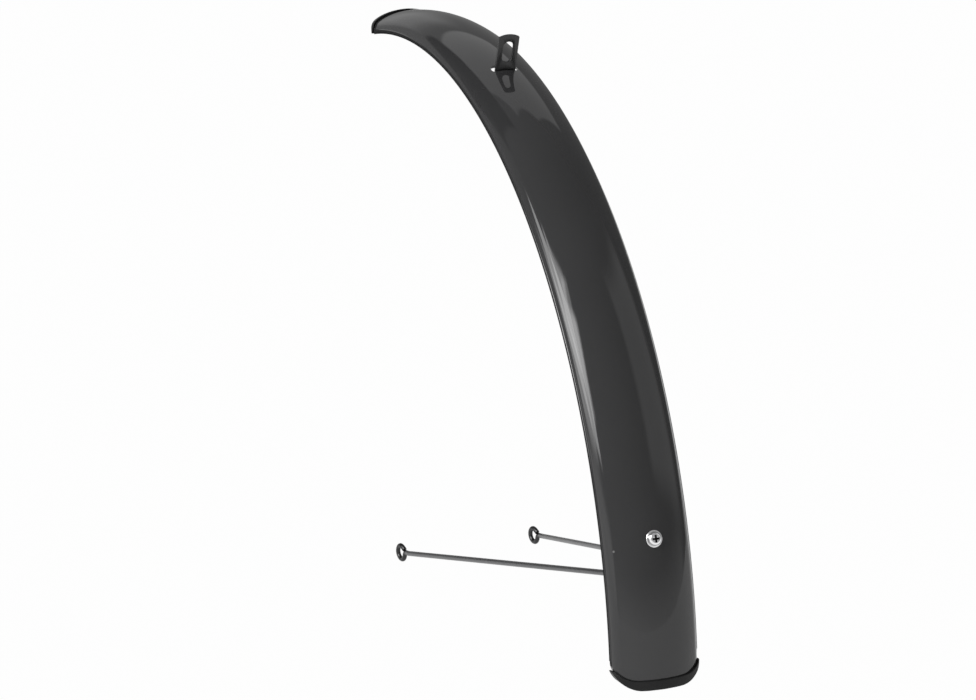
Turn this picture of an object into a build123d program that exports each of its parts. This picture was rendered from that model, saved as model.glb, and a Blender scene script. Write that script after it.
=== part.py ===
from build123d import *
import os
from math import asin, atan2, cos, degrees, radians, sin, sqrt

# Front mudguard for a 28-inch bicycle wheel, in millimetres and degrees.
# It is built about the wheel's centre: +X points forward, +Y to the rider's left, +Z up.
# Angles along the blade are measured from its top, positive towards the rear.
# At the end every piece is moved so that the origin lies in the middle of the fork bolt's slot.

# Blade
BLADE_RADIUS = 350.0
BLADE_WIDTH = 51.4
BLADE_DEPTH = 14.4
BLADE_WALL = 1.6
SHOULDER_RADIUS = 9.0
RIM_CROWN = 0.6
TIP_ANGLE = -11.8
TAIL_ANGLE = 85.0
TIP_CORNER = 8.0
TAIL_CORNER = 11.5

# Edging pressed over each end of the blade
TRIM_WALL = 1.2
TRIM_COVER = 3.8
TRIM_REACH = 8.6
TRIM_BEAD = 1.7
TRIM_ABOVE_RIM = 0.8
TRIM_BACK_CORNER = 14.0
TRIM_BACK_SPREAD = 4.0
TRIM_CLEARANCE = 0.1

# Fork bracket, a steel strap that stands through a slot in the blade
BRACKET_ANGLE = 18.2
STRAP_WIDTH = 12.2
STRAP_THICKNESS = 1.6
STRAP_BEND = 2.0
TONGUE_HEIGHT = 22.4
TONGUE_TOP_RADIUS = 14.0
FOOT_LENGTH = 20.0
FOOT_CORNER = 3.0
BOLT_SLOT_WIDTH = 6.4
BOLT_SLOT_LENGTH = 13.4
BOLT_SLOT_HEIGHT = 11.3
BLADE_SLOT_WIDTH = 15.8
BLADE_SLOT_LENGTH = 6.4

# Wheel stay, one wire bent to a long U with an eye at each end
WIRE_DIAMETER = 3.2
STAY_BRIDGE_WIDTH = 43.0
STAY_BEND = 16.0
STAY_EYE_BEND = 12.0
STAY_EYE_LEAD = 8.0
EYE_BACK = 45.0
EYE_UP = 10.2
EYE_SPACING = 92.2
EYE_BORE = 5.6
EYE_THICKNESS = 2.8
EYE_CHAMFER = 0.6
EYE_NECK_BEND = 3.0
EYE_END_ANGLE = 52.0
EYE_END_RUN = 1.7

# Clip that holds the stay under the blade
SCREW_ANGLE = 71.7
WIRE_BELOW_SCREW = 16.6
CLIP_WIDTH = 10.0
CLIP_THICKNESS = 1.2
CLIP_LEAF_GAP = 0.15
CLIP_TAB = 6.0
CLIP_RUN = 3.0
CLIP_CORNER = 3.0
CLIP_CLEARANCE = 0.1

# Clip screw and its nut
SCREW_DIAMETER = 4.0
SCREW_LENGTH = 10.0
SCREW_HOLE_CLEARANCE = 0.5
COLLAR_DIAMETER = 9.5
COLLAR_HEIGHT = 0.9
COLLAR_CHAMFER = 0.3
HEAD_DIAMETER = 7.3
HEAD_HEIGHT = 2.1
HEAD_ROUND = 1.5
RECESS_SPAN = 4.2
RECESS_WIDTH = 1.0
RECESS_DEPTH = 1.6
RECESS_TAPER = 12.0
NUT_ACROSS_FLATS = 7.0
NUT_HEIGHT = 3.2
NUT_CHAMFER = 0.5
NUT_THREAD_CLEARANCE = 0.1

# Gap left where a flat piece seats against the curved inside of the blade
SEAT_GAP = 0.05
# Length by which cutting shapes run past what they cut
CUT_PAST = 12.0

HALF_WIDTH = BLADE_WIDTH / 2
# The crowned rim lies below the arch
ARCH_DEPTH = BLADE_DEPTH - RIM_CROWN
RIM_RADIUS = BLADE_RADIUS - ARCH_DEPTH
INNER_RADIUS = BLADE_RADIUS - BLADE_WALL
# Across the blade, a flat crown runs smoothly into two tight shoulders that end upright at the rims
SHOULDER_CENTRE = HALF_WIDTH - SHOULDER_RADIUS
CROWN_RADIUS = (SHOULDER_CENTRE**2 + ARCH_DEPTH**2 - SHOULDER_RADIUS**2) / (2 * (ARCH_DEPTH - SHOULDER_RADIUS))
CROWN_CENTRE = ARCH_DEPTH - CROWN_RADIUS
SHOULDER_TURN = degrees(atan2(-CROWN_CENTRE, SHOULDER_CENTRE))
WIRE_RADIUS = WIRE_DIAMETER / 2
LOOP_RADIUS = EYE_BORE / 2 + WIRE_RADIUS
# From the middle of an eye to where the straight wire starts to bend into it
NECK_REACH = sqrt(LOOP_RADIUS**2 + 2 * LOOP_RADIUS * EYE_NECK_BEND)
SCREW_HOLE = SCREW_DIAMETER + SCREW_HOLE_CLEARANCE
# Positive turns about this axis run from the top of the blade to its rear
WHEEL_AXIS = Axis((0, 0, 0), (0, -1, 0))


def arc_plane(angle, radius, heading=1):
    """Plane tangent to a circle about the wheel's centre: x runs along the arc, z points outwards."""
    turn = radians(angle)
    outwards = Vector(-sin(turn), 0, cos(turn))
    along = Vector(-cos(turn), 0, -sin(turn)) * heading
    return Plane(origin=outwards * radius, x_dir=along, z_dir=outwards)


def inner_drop(offset_from_middle):
    """How far the blade's inside falls away from its crown at a distance from the middle plane."""
    inner_crown = CROWN_RADIUS - BLADE_WALL
    return inner_crown - sqrt(inner_crown**2 - offset_from_middle**2)


def arc_drop(run):
    """How far the inside of the crown falls from its tangent over a run along the arc."""
    return INNER_RADIUS - sqrt(INNER_RADIUS * INNER_RADIUS - run * run)


def arch_line(inset):
    """The arch across the blade from rim to rim, set in from its outside: shoulder, crown, shoulder."""
    shoulder = SHOULDER_RADIUS - inset
    crown = CROWN_RADIUS - inset
    crown_turn = 90 - SHOULDER_TURN
    return [
        CenterArc((SHOULDER_CENTRE, 0), shoulder, 0, SHOULDER_TURN),
        CenterArc((0, CROWN_CENTRE), crown, SHOULDER_TURN, crown_turn),
        CenterArc((0, CROWN_CENTRE), crown, 90, crown_turn),
        CenterArc((-SHOULDER_CENTRE, 0), shoulder, 180 - SHOULDER_TURN, SHOULDER_TURN),
    ]


def blade_section():
    """The arch's wall, with a crowned rim along each side."""
    inner_half = HALF_WIDTH - BLADE_WALL
    rim_middle = HALF_WIDTH - BLADE_WALL / 2
    left_rim = ThreePointArc((HALF_WIDTH, 0), (rim_middle, -RIM_CROWN), (inner_half, 0))
    right_rim = ThreePointArc((-HALF_WIDTH, 0), (-rim_middle, -RIM_CROWN), (-inner_half, 0))
    outline = arch_line(0) + arch_line(BLADE_WALL) + [left_rim, right_rim]
    return Pos(0, RIM_RADIUS) * make_face(outline)


def grown_section(grow, above_rim=0.0):
    """The arch's wall grown on both faces and cut off square above the rim."""
    outer_half = HALF_WIDTH + grow
    inner_half = HALF_WIDTH - BLADE_WALL - grow
    left_foot = Line((outer_half, 0), (inner_half, 0))
    right_foot = Line((-outer_half, 0), (-inner_half, 0))
    outline = arch_line(-grow) + arch_line(BLADE_WALL + grow) + [left_foot, right_foot]
    upper_side = Pos(0, above_rim) * Rectangle(
        2 * BLADE_WIDTH, BLADE_WIDTH, align=(Align.CENTER, Align.MIN)
    )
    return Pos(0, RIM_RADIUS) * (make_face(outline) & upper_side)


def swept_arch(section, start_angle, end_angle):
    """The arch carried round the wheel from one angle to another."""
    placed = (Plane.YZ * section).rotate(WHEEL_AXIS, start_angle)
    # The crown's two halves stay apart here, so that holes through its middle are cut true
    return revolve(placed, axis=WHEEL_AXIS, revolution_arc=end_angle - start_angle, clean=False)


def end_outline(reach, grow, half_width, corner):
    """Plan of one end of the blade: x points out of the end, whose corners are rounded."""
    block = Pos(grow, 0) * Rectangle(
        reach + grow, 2 * half_width, align=(Align.MAX, Align.CENTER)
    )
    return fillet(block.vertices().group_by(Axis.X)[-1], corner)


def end_prism(plane, outline):
    return extrude(plane * outline, amount=BLADE_DEPTH + CUT_PAST, both=True)


def end_waste(plane, corner):
    """What is trimmed off the blade to leave an end with rounded corners."""
    past_end = Pos(-corner, 0) * Rectangle(
        corner + 2 * CUT_PAST, BLADE_WIDTH + CUT_PAST, align=(Align.MIN, Align.CENTER)
    )
    outline = end_outline(corner + CUT_PAST, 0, HALF_WIDTH, corner)
    return end_prism(plane, past_end - outline)


def make_blade():
    spare = degrees(CUT_PAST / BLADE_RADIUS)
    blade = swept_arch(blade_section(), TIP_ANGLE - spare, TAIL_ANGLE + spare)
    tip_waste = end_waste(arc_plane(TIP_ANGLE, BLADE_RADIUS, -1), TIP_CORNER)
    tail_waste = end_waste(arc_plane(TAIL_ANGLE, BLADE_RADIUS), TAIL_CORNER)
    # The strap's bend hooks under the rear edge of its slot
    slot_outline = Pos(STRAP_BEND - BLADE_SLOT_LENGTH / 2, 0) * SlotOverall(
        BLADE_SLOT_WIDTH, BLADE_SLOT_LENGTH, rotation=90
    )
    bracket_plane = arc_plane(BRACKET_ANGLE, BLADE_RADIUS)
    strap_slot = extrude(bracket_plane * slot_outline, amount=CUT_PAST, both=True)
    screw_plane = arc_plane(SCREW_ANGLE, BLADE_RADIUS)
    screw_hole = extrude(screw_plane * Circle(SCREW_HOLE / 2), amount=CUT_PAST, both=True)
    return blade.cut(tip_waste, tail_waste, strap_slot, screw_hole)


def make_trim(end_angle, heading, corner):
    """Channel of soft edging that wraps the rounded end of the blade and stops just above its rim."""
    plane = arc_plane(end_angle, BLADE_RADIUS, heading)
    reach = degrees(TRIM_REACH / RIM_RADIUS)
    section = grown_section(TRIM_CLEARANCE + TRIM_WALL, TRIM_ABOVE_RIM)
    walls = swept_arch(section, end_angle - reach, end_angle + reach)
    beyond = corner + CUT_PAST
    outer = end_outline(beyond, TRIM_BEAD, HALF_WIDTH + TRIM_BEAD, corner + TRIM_BEAD)
    trim = walls & end_prism(plane, outer)
    back_half_width = HALF_WIDTH + TRIM_BACK_SPREAD
    back = end_outline(beyond, -TRIM_COVER, back_half_width, TRIM_BACK_CORNER)
    trim -= end_prism(plane, back)
    spare = degrees(beyond / RIM_RADIUS)
    groove = swept_arch(grown_section(TRIM_CLEARANCE), end_angle - spare, end_angle + spare)
    groove_end = end_outline(
        beyond, TRIM_CLEARANCE, HALF_WIDTH + TRIM_CLEARANCE, corner + TRIM_CLEARANCE
    )
    trim -= groove & end_prism(plane, groove_end)
    return trim


def make_fork_bracket():
    """Strap bent to an L: a slotted tongue outside the blade and a foot under its crown."""
    tongue_plane = Plane(
        origin=arc_plane(BRACKET_ANGLE, BLADE_RADIUS).origin,
        x_dir=(0, 1, 0),
        z_dir=-arc_plane(BRACKET_ANGLE, BLADE_RADIUS).x_dir,
    )
    foot_top = INNER_RADIUS - inner_drop(STRAP_WIDTH / 2) - SEAT_GAP
    foot_radius = foot_top - STRAP_THICKNESS / 2
    bend_turn = asin(STRAP_BEND / (foot_radius + STRAP_BEND))
    bend_start = (foot_radius + STRAP_BEND) * cos(bend_turn)

    half = STRAP_WIDTH / 2
    shoulder = TONGUE_HEIGHT - TONGUE_TOP_RADIUS + sqrt(TONGUE_TOP_RADIUS**2 - half**2)
    base = bend_start - BLADE_RADIUS
    sides = Polyline((-half, shoulder), (-half, base), (half, base), (half, shoulder))
    top = ThreePointArc((half, shoulder), (0, TONGUE_HEIGHT), (-half, shoulder))
    face = make_face(sides + top)
    face -= Pos(0, BOLT_SLOT_HEIGHT) * SlotOverall(BOLT_SLOT_LENGTH, BOLT_SLOT_WIDTH, rotation=90)
    tongue = extrude(tongue_plane * face, amount=STRAP_THICKNESS / 2, both=True)

    strap_section = Rectangle(STRAP_WIDTH, STRAP_THICKNESS)
    bend_plane = Plane(
        origin=arc_plane(BRACKET_ANGLE, bend_start).origin,
        x_dir=(0, 1, 0),
        z_dir=arc_plane(BRACKET_ANGLE, bend_start).z_dir,
    )
    bend_centre = bend_plane.origin - tongue_plane.z_dir * STRAP_BEND
    bend_sweep = 90 - degrees(bend_turn)
    bend = revolve(bend_plane * strap_section, Axis(bend_centre, (0, 1, 0)), bend_sweep)

    foot_start = BRACKET_ANGLE + degrees(bend_turn)
    foot_span = degrees(FOOT_LENGTH / foot_radius)
    foot_section = Pos(0, foot_radius) * strap_section
    foot = swept_arch(foot_section, foot_start, foot_start + foot_span)
    foot_ends = foot.faces().filter_by(GeomType.PLANE).filter_by(Axis.Y, reverse=True)
    toe = foot_ends.sort_by(Axis.Z)[0]
    foot = fillet(toe.edges().filter_by(Axis.Y, reverse=True), FOOT_CORNER)
    return tongue + bend + foot


def clip_depths():
    """Depths under the inside of the crown: the clip's seat, the wire's middle, the lower leaf's far face."""
    wire_room = WIRE_RADIUS + CLIP_CLEARANCE
    seat = inner_drop(CLIP_WIDTH / 2) + arc_drop(WIRE_BELOW_SCREW) + SEAT_GAP
    wire_middle = seat + CLIP_THICKNESS + wire_room
    stack = seat + 2 * CLIP_THICKNESS + CLIP_LEAF_GAP
    return seat, wire_middle, stack


def stay_frame():
    """Middle of the stay's bridge, middle between its eyes, and the way from the first to the second."""
    wire_middle = clip_depths()[1]
    under_screw = arc_plane(SCREW_ANGLE, INNER_RADIUS)
    bridge = under_screw.from_local_coords(Vector(WIRE_BELOW_SCREW, 0, -wire_middle))
    eyes = Vector(-EYE_BACK, 0, EYE_UP)
    return bridge, eyes, (eyes - bridge).normalized()


def make_eye(side, eyes, towards_eyes):
    """Coined eye that the wire curls into; its bore lies along Y."""
    centre = eyes + Vector(0, side * EYE_SPACING / 2, 0)
    eye_plane = Plane(origin=centre, x_dir=-towards_eyes, z_dir=(0, 1, 0))
    neck_turn = degrees(atan2(EYE_NECK_BEND, NECK_REACH))

    wire_end = radians(EYE_END_ANGLE)
    end_way = eye_plane.x_dir * cos(wire_end) + eye_plane.y_dir * sin(wire_end)
    ring_plane = Plane(origin=centre, x_dir=end_way, z_dir=end_way.cross(Vector(0, 1, 0)))
    flat_wire = Rectangle(WIRE_DIAMETER, EYE_THICKNESS)
    ring_section = Pos(LOOP_RADIUS, 0) * chamfer(flat_wire.vertices(), EYE_CHAMFER)
    ring_sweep = 360 - EYE_END_ANGLE - neck_turn
    ring = revolve(ring_plane * ring_section, Axis(centre, (0, 1, 0)), ring_sweep)
    ring += extrude(ring_plane * ring_section, amount=EYE_END_RUN)

    neck_start = Plane(
        origin=eye_plane.from_local_coords(Vector(NECK_REACH, 0, 0)),
        x_dir=(0, 1, 0),
        z_dir=eye_plane.x_dir,
    )
    neck_centre = eye_plane.from_local_coords(Vector(NECK_REACH, -EYE_NECK_BEND, 0))
    neck = revolve(neck_start * Circle(WIRE_RADIUS), Axis(neck_centre, (0, 1, 0)), 90 - neck_turn)
    return ring + neck


def wire_run(edge):
    """Round wire along one straight run or one bend of the stay."""
    section = Plane(origin=edge @ 0, z_dir=edge % 0) * Circle(WIRE_RADIUS)
    if edge.geom_type == GeomType.LINE:
        return extrude(section, amount=edge.length)
    turning = (edge @ 0 - edge.arc_center).cross(edge % 0)
    return revolve(section, Axis(edge.arc_center, turning), degrees(edge.length / edge.radius))


def make_stay():
    bridge, eyes, towards_eyes = stay_frame()
    stay_plane = Plane(origin=bridge, x_dir=(0, 1, 0), z_dir=Vector(0, 1, 0).cross(towards_eyes))
    leg_end = (eyes - bridge).length - NECK_REACH
    lead = leg_end - STAY_EYE_LEAD
    out, bridge_half = EYE_SPACING / 2, STAY_BRIDGE_WIDTH / 2
    left = [(out, leg_end), (out, lead), (bridge_half, 0)]
    right = [(-across, along) for across, along in reversed(left)]
    bends = [STAY_EYE_BEND, STAY_BEND, STAY_BEND, STAY_EYE_BEND]
    route = stay_plane * FilletPolyline(*left, *right, radius=bends)
    runs = [wire_run(edge) for edge in route.edges()]
    ends = [make_eye(side, eyes, towards_eyes) for side in (1, -1)]
    return Part() + runs + ends


def make_clip():
    """Steel strip folded round the stay's bridge, with both leaves under the screw."""
    seat, wire_middle, stack = clip_depths()
    half = CLIP_THICKNESS / 2
    fold = WIRE_RADIUS + CLIP_CLEARANCE + half
    upper = -(seat + half)
    lower = -(stack - half)
    under_wire = -(wire_middle + fold)
    slope_end = WIRE_BELOW_SCREW - fold - CLIP_RUN
    strip = Polyline((-CLIP_TAB, upper), (WIRE_BELOW_SCREW, upper))
    strip += CenterArc((WIRE_BELOW_SCREW, -wire_middle), fold, 90, -180)
    strip += FilletPolyline(
        (WIRE_BELOW_SCREW, under_wire),
        (slope_end + CLIP_RUN, under_wire),
        (slope_end, lower),
        (-CLIP_TAB, lower),
        radius=CLIP_THICKNESS,
    )
    under_screw = arc_plane(SCREW_ANGLE, INNER_RADIUS)
    profile_plane = Plane(
        origin=under_screw.origin, x_dir=under_screw.x_dir, z_dir=-under_screw.y_dir
    )
    clip = extrude(profile_plane * trace(strip, CLIP_THICKNESS), amount=CLIP_WIDTH / 2, both=True)
    through_leaves = Axis(under_screw.origin, under_screw.z_dir)
    along_leaves = Axis(under_screw.origin, under_screw.x_dir)
    tab_edges = clip.edges().filter_by(through_leaves).sort_by(along_leaves)[:4]
    clip = fillet(tab_edges, CLIP_CORNER)
    clip -= extrude(under_screw * Circle(SCREW_HOLE / 2), amount=-CUT_PAST)
    return clip


def make_screw():
    plane = arc_plane(SCREW_ANGLE, BLADE_RADIUS)
    low = (Align.CENTER, Align.CENTER, Align.MIN)
    shank = Pos(0, 0, -SCREW_LENGTH) * Cylinder(SCREW_DIAMETER / 2, SCREW_LENGTH, align=low)
    collar = Cylinder(COLLAR_DIAMETER / 2, COLLAR_HEIGHT, align=low)
    collar = chamfer(collar.edges().group_by(Axis.Z)[-1], COLLAR_CHAMFER)
    head = Cylinder(HEAD_DIAMETER / 2, COLLAR_HEIGHT + HEAD_HEIGHT, align=low)
    head = fillet(head.edges().group_by(Axis.Z)[-1], HEAD_ROUND)
    cross = Rectangle(RECESS_SPAN, RECESS_WIDTH) + Rectangle(RECESS_WIDTH, RECESS_SPAN)
    head_top = Plane.XY.offset(COLLAR_HEIGHT + HEAD_HEIGHT)
    recess = extrude(head_top * cross, amount=-RECESS_DEPTH, taper=RECESS_TAPER)
    return plane * (shank + collar + head - recess)


def make_nut():
    stack = clip_depths()[2]
    plane = arc_plane(SCREW_ANGLE, INNER_RADIUS - stack - NUT_HEIGHT)
    hexagon = RegularPolygon(NUT_ACROSS_FLATS / 2, 6, major_radius=False)
    low = (Align.CENTER, Align.CENTER, Align.MIN)
    corner_radius = NUT_ACROSS_FLATS / 2 / cos(radians(30))
    turned = Cylinder(corner_radius, NUT_HEIGHT, align=low)
    turned = chamfer(turned.edges().filter_by(GeomType.CIRCLE), NUT_CHAMFER)
    nut = extrude(hexagon, NUT_HEIGHT) & turned
    nut -= Cylinder(SCREW_DIAMETER / 2 + NUT_THREAD_CLEARANCE, NUT_HEIGHT, align=low)
    return plane * nut


def main():
    os.makedirs("parts", exist_ok=True)
    pieces = {
        "mudguard_blade": make_blade(),
        "front_end_trim": make_trim(TIP_ANGLE, -1, TIP_CORNER),
        "rear_end_trim": make_trim(TAIL_ANGLE, 1, TAIL_CORNER),
        "fork_bracket": make_fork_bracket(),
        "wheel_stay": make_stay(),
        "stay_clip": make_clip(),
        "stay_screw": make_screw(),
        "stay_nut": make_nut(),
    }
    bolt_slot = arc_plane(BRACKET_ANGLE, BLADE_RADIUS + BOLT_SLOT_HEIGHT).origin
    for name, piece in pieces.items():
        export_step(Pos(-bolt_slot.X, -bolt_slot.Y, -bolt_slot.Z) * piece, f"parts/{name}.step")
        print(name, round(piece.volume, 1), piece.is_valid)


main()
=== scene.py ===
# %% [markdown]
# # A front mudguard for a bicycle
# The solids of this mudguard were made in CAD and packed. This lesson loads them as a fixed frame and dresses them
# for a studio picture: a glossy arched blade, soft edging on both ends, a black bracket, a bare wire stay and a
# screw. Everything is in metres, with +X forward, +Y to the rider's left and +Z up. Angles are written in degrees.

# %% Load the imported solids
from math import asin, atan2, cos, degrees, radians, sin, sqrt, tan

import bpy
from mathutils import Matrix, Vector


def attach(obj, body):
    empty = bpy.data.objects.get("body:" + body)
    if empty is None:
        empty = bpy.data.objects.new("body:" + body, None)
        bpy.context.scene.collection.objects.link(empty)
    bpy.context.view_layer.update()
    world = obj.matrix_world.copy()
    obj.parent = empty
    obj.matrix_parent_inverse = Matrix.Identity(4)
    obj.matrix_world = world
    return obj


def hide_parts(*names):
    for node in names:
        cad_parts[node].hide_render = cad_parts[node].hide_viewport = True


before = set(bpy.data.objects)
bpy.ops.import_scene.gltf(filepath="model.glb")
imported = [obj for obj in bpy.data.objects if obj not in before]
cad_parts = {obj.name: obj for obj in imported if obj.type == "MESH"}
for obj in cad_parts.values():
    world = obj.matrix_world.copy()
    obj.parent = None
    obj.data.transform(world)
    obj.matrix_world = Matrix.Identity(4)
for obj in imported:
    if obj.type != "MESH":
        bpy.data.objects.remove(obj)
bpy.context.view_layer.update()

# %% [markdown]
# ## Where things are
# The blade is a piece of a wheel-shaped arc, so every place on it is an angle from its top and a distance from the
# wheel's centre. The frame's origin is the middle of the fork bolt's slot. Small functions turn an angle into a
# direction and a place, and all later pieces are placed with them.

# %% Places along the wheel's arc
MM = 0.001
BRACKET_ANGLE = 18.2
SCREW_ANGLE = 71.7
BLADE_RADIUS = 350 * MM
BOLT_HEIGHT = 11.3 * MM
ACROSS = Vector((0, 1, 0))


def outward(angle):
    return Vector((-sin(radians(angle)), 0, cos(radians(angle))))


def forward(angle):
    return Vector((cos(radians(angle)), 0, sin(radians(angle))))


WHEEL = -outward(BRACKET_ANGLE) * (BLADE_RADIUS + BOLT_HEIGHT)


def on_arc(angle, radius, across=0.0):
    return WHEEL + outward(angle) * radius + ACROSS * across


print("wheel centre", [round(v, 5) for v in WHEEL])

# %% [markdown]
# ## Hand tools
# A turned or bent thing is easiest to make from one point. Spin carries the selected points round a centre and leaves
# edges or faces behind, and extrude pushes them along a line. Spin's own angle runs clockwise seen against its axis,
# so the helper below turns it round and a positive turn follows the right hand.

# %% Points, spins and pushes
def start_point(name, place):
    """A new piece that is one selected point, left in edit mode."""
    bpy.ops.object.select_all(action="DESELECT")
    bpy.ops.mesh.primitive_plane_add(size=MM)
    piece = bpy.context.object
    piece.name = piece.data.name = name
    bpy.ops.object.mode_set(mode="EDIT")
    bpy.ops.mesh.select_mode(type="VERT")
    bpy.ops.mesh.select_all(action="SELECT")
    bpy.ops.mesh.merge(type="CENTER")
    bpy.ops.transform.translate(value=place)
    return piece


def spin(turn, centre, axis, steps):
    bpy.ops.mesh.spin(steps=steps, angle=-radians(turn), center=centre, axis=axis)


def push(way):
    bpy.ops.mesh.extrude_region_move(TRANSFORM_OT_translate={"value": way})


print("points, spins and pushes ready")

# %% Seams and faces
SEAM = 0.002 * MM


def join_points():
    """Select everything and merge the points that lie on one another."""
    bpy.ops.mesh.select_all(action="SELECT")
    bpy.ops.mesh.remove_doubles(threshold=SEAM)


def face_outwards():
    """Point all faces outwards, then leave edit mode."""
    bpy.ops.mesh.select_all(action="SELECT")
    bpy.ops.mesh.normals_make_consistent(inside=False)
    bpy.ops.object.mode_set(mode="OBJECT")


def close_shell():
    """Join the seams, close open ends and point the faces outwards."""
    join_points()
    bpy.ops.mesh.fill_holes(sides=0)
    face_outwards()


def report(piece):
    size = [round(v / MM, 1) for v in piece.dimensions]
    print(piece.name, "faces", len(piece.data.polygons), "size mm", size)


print("seams closer than", SEAM / MM, "mm are joined")

# %% [markdown]
# Cuts are made as in a workshop: a block is set square to the arc, its corners are rounded with a bevel, and a
# Boolean modifier takes it away from the piece, or keeps only what lies inside it. Edges and faces are selected in
# code by their place, which stays right when a measure changes, while a list of their numbers would not.

# %% Blocks, edges and faces
def only(piece):
    bpy.ops.object.select_all(action="DESELECT")
    piece.select_set(True)
    bpy.context.view_layer.objects.active = piece


def add_block(place, angle, size):
    """A block whose x points forward along the arc and whose z points outwards."""
    bpy.ops.object.select_all(action="DESELECT")
    turn = (0, -radians(angle), 0)
    bpy.ops.mesh.primitive_cube_add(size=1, location=place, rotation=turn, scale=size)
    bpy.ops.object.transform_apply(location=False, rotation=False, scale=True)
    return bpy.context.object


def deselect_all(piece, kind):
    """Clear the selection on a piece, so that edges or faces can be selected in code."""
    only(piece)
    bpy.ops.object.mode_set(mode="EDIT")
    bpy.ops.mesh.select_mode(type=kind)
    bpy.ops.mesh.select_all(action="DESELECT")
    bpy.ops.object.mode_set(mode="OBJECT")


def select_edges(piece, wanted):
    """Select the edges whose two ends pass a test, and stay in edit mode."""
    deselect_all(piece, "EDGE")
    points = piece.data.vertices
    for edge in piece.data.edges:
        edge.select = wanted(points[edge.vertices[0]].co, points[edge.vertices[1]].co)
    bpy.ops.object.mode_set(mode="EDIT")


def select_face(piece, way):
    """Select the one face that points most nearly a given way, and stay in edit mode."""
    deselect_all(piece, "FACE")
    best = max(piece.data.polygons, key=lambda face: face.normal.dot(way))
    best.select = True
    bpy.ops.object.mode_set(mode="EDIT")


print("blocks, edges and faces ready")

# %% Rounded corners and cuts
ROUND_STEPS = 14


def bevel_selected(radius, steps):
    bpy.ops.mesh.bevel(offset=radius, segments=steps, affect="EDGES")
    bpy.ops.object.mode_set(mode="OBJECT")


def round_upright_edges(block, radius, side=0):
    """Round the edges along z, all four or only those on one side in x."""
    select_edges(block, lambda a, b: a.z * b.z < 0 and a.x * side >= 0)
    bevel_selected(radius, ROUND_STEPS)


def cut(piece, cutter, operation="DIFFERENCE"):
    only(piece)
    bpy.ops.object.modifier_add(type="BOOLEAN")
    change = piece.modifiers[-1]
    change.operation = operation
    change.solver = "EXACT"
    change.object = cutter
    bpy.ops.object.modifier_apply(modifier=change.name)
    bpy.data.objects.remove(cutter)


print("corners are rounded in", ROUND_STEPS, "steps")

# %% [markdown]
# ## The blade
# The real blade is a strip of plastic pressed to an arch: a flat crown that turns into two tight shoulders, with a
# rim along each side. It could be bent from a flat grid, but spinning is truer. One point is spun round the centres
# of the shoulder, the crown and the rim until it closes the outline of the wall, and the outline is spun round the
# wheel. Enough steps keep the reflections smooth.

# %% The arch across the blade
HALF_WIDTH = 25.7 * MM
WALL = 1.6 * MM
ARCH_DEPTH = 13.8 * MM
RIM_RADIUS = BLADE_RADIUS - ARCH_DEPTH
SHOULDER_RADIUS = 9 * MM
SHOULDER_CENTRE = HALF_WIDTH - SHOULDER_RADIUS
CROWN_RADIUS = (SHOULDER_CENTRE**2 + ARCH_DEPTH**2 - SHOULDER_RADIUS**2) / (
    2 * (ARCH_DEPTH - SHOULDER_RADIUS))
CROWN_CENTRE = ARCH_DEPTH - CROWN_RADIUS
SHOULDER_TURN = degrees(atan2(-CROWN_CENTRE, SHOULDER_CENTRE))
SHOULDER_STEPS = 20
CROWN_STEPS = 24


def spin_arch(angle, foot_turn, way):
    """Carry the point over the arch from foot to foot; way is 1 from left to right and -1 back."""
    shoulder_turn = way * (SHOULDER_TURN - foot_turn)
    crown_turn = way * (180 - 2 * SHOULDER_TURN)
    axis = forward(angle)
    spin(shoulder_turn, on_arc(angle, RIM_RADIUS, way * SHOULDER_CENTRE), axis, SHOULDER_STEPS)
    spin(crown_turn, on_arc(angle, RIM_RADIUS + CROWN_CENTRE), axis, CROWN_STEPS)
    spin(shoulder_turn, on_arc(angle, RIM_RADIUS, -way * SHOULDER_CENTRE), axis, SHOULDER_STEPS)


print("crown radius mm", round(CROWN_RADIUS / MM, 2), "shoulder turn", round(SHOULDER_TURN, 1))

# %% [markdown]
# Each rim ends in a crowned edge, and a fine bead is rolled along its outside, which stiffens it and catches a thin
# line of light. A bump in the finish could suggest the bead, but it shows at the outline, so it is in the mesh. Both
# are arcs over a chord, so their centres follow from the chord and from how far the arc stands proud.

# %% The crowned rim and its bead
RIM_CROWN = 0.6 * MM
RIM_STEPS = 8
BEAD_TURN = 15.0
BEAD_PROUD = 0.8 * MM
LEFT, RIGHT = 1, -1


def arc_radius(chord, proud):
    return (chord**2 / 4 + proud**2) / (2 * proud)


def spin_rim(angle, side):
    """Carry the point round the crowned rim on one side."""
    rim_round = arc_radius(WALL, RIM_CROWN)
    rim_height = RIM_RADIUS + rim_round - RIM_CROWN
    rim_centre = on_arc(angle, rim_height, side * (HALF_WIDTH - WALL / 2))
    spin(2 * degrees(asin(WALL / 2 / rim_round)), rim_centre, forward(angle), RIM_STEPS)


def spin_bead(angle, side):
    """Carry the point round the fine bead that is rolled along a rim."""
    bead_turn = radians(BEAD_TURN)
    run = SHOULDER_CENTRE + SHOULDER_RADIUS * cos(bead_turn) - HALF_WIDTH
    rise = SHOULDER_RADIUS * sin(bead_turn)
    chord = sqrt(run**2 + rise**2)
    bead_round = arc_radius(chord, BEAD_PROUD)
    inset = (bead_round - BEAD_PROUD) / chord
    bead_height = RIM_RADIUS + rise / 2 + inset * run
    bead_centre = on_arc(angle, bead_height, side * (HALF_WIDTH + run / 2 - inset * rise))
    spin(2 * degrees(asin(chord / 2 / bead_round)), bead_centre, forward(angle), RIM_STEPS)


print("rim radius mm", round(arc_radius(WALL, RIM_CROWN) / MM, 3))

# %% The blade from rim to rim and from end to end
TIP_ANGLE = -11.8
TAIL_ANGLE = 85.0
SPARE = 2.0
BLADE_STEPS = 260

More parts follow.
